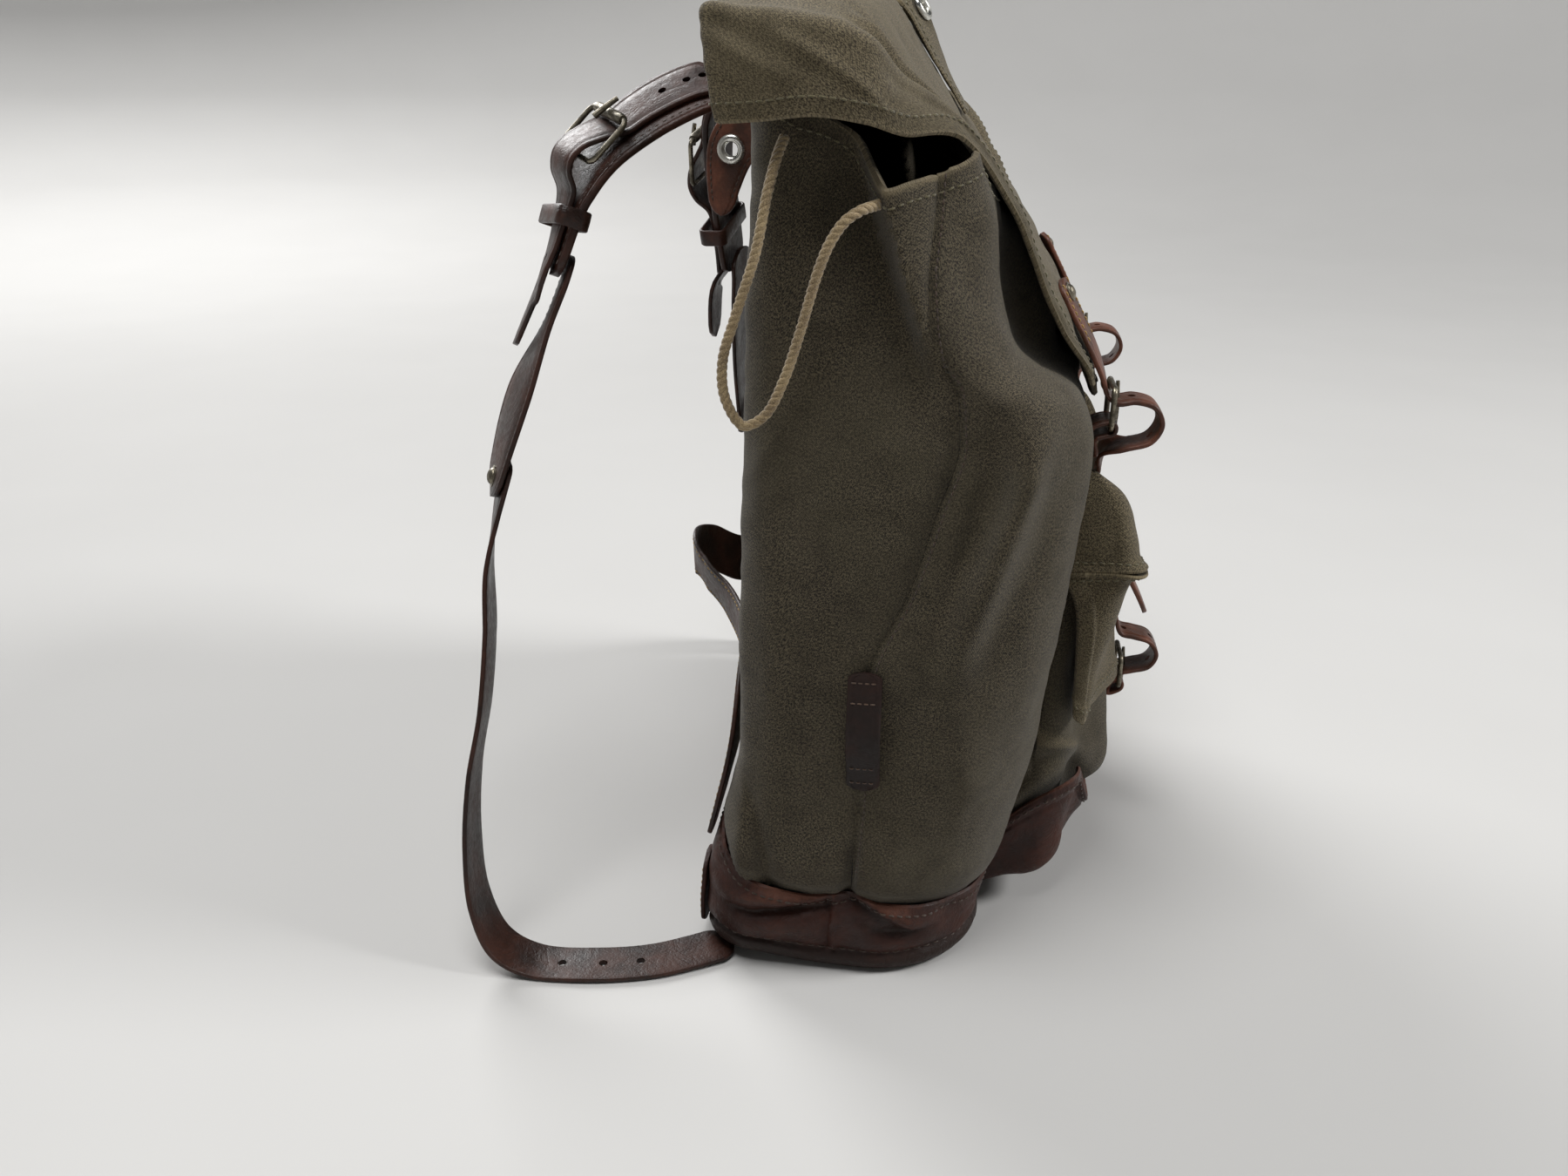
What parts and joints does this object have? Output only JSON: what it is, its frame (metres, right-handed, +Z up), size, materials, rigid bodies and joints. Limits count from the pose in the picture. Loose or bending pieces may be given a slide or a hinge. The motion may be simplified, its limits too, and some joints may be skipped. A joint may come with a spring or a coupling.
{
  "type": "military rucksack",
  "caption": "Standing canvas rucksack with a leather base, overhanging lid, buckled front pocket, leather carrying straps and a drawstring mouth.",
  "frame": {"origin": "middle of the flat leather bottom, on the surface that the rucksack stands on", "axes": "+Z up, +X from the back towards the front pocket, +Y towards the wearer's right"},
  "size_m": [0.3875, 0.451, 0.5006],
  "materials": {
    "canvas": "coarse salt-and-pepper woven cotton, worn pale along the edges",
    "base_leather": "red-brown, creased and scuffed, half matt",
    "strap_leather": "dark brown, polished by wear",
    "tan_leather": "tan-brown with dark edges, half matt",
    "aged_metal": "dull plated steel with brown tarnish",
    "bright_metal": "bright nickel, lightly worn",
    "cotton": "twisted beige cotton, fuzzy"
  },
  "bodies": {
    "root": {"front_canvas": "canvas", "back_canvas": "canvas", "lid_canvas": "canvas", "lid_sleeve": "canvas", "pocket_canvas": "canvas", "flap_top": "canvas", "flap_skirt": "canvas", "base_leather": "base_leather", "base_sole": "base_leather", "pocket_leather": "base_leather", "base_tab_left": "base_leather", "base_tab_right": "base_leather", "side_tab_left": "strap_leather", "side_tab_right": "strap_leather", "strap_anchor": "strap_leather", "hang_tab": "strap_leather", "shoulder_pad_left": "strap_leather", "shoulder_strap_left": "strap_leather", "shoulder_keeper_left": "strap_leather", "lower_strap_left": "strap_leather", "end_strap_left": "strap_leather", "shoulder_pad_right": "strap_leather", "shoulder_strap_right": "strap_leather", "shoulder_keeper_right": "strap_leather", "lower_strap_right": "strap_leather", "end_strap_right": "strap_leather", "hip_strap": "tan_leather", "pocket_strap": "tan_leather", "pocket_chape": "tan_leather", "lid_strap_left": "tan_leather", "lid_chape_left": "tan_leather", "lid_strap_right": "tan_leather", "lid_chape_right": "tan_leather", "pocket_buckle": "aged_metal", "lid_rivet_left": "aged_metal", "lid_buckle_left": "aged_metal", "shoulder_buckle_left": "aged_metal", "shoulder_prong_left": "aged_metal", "strap_rivet_left": "aged_metal", "anchor_ring_left": "aged_metal", "lid_rivet_right": "aged_metal", "lid_buckle_right": "aged_metal", "shoulder_buckle_right": "aged_metal", "shoulder_prong_right": "aged_metal", "strap_rivet_right": "aged_metal", "anchor_ring_right": "aged_metal", "sleeve_eyelet": "bright_metal", "tab_eyelet": "bright_metal", "drawstring": "cotton"}
  },
  "joints": []
}
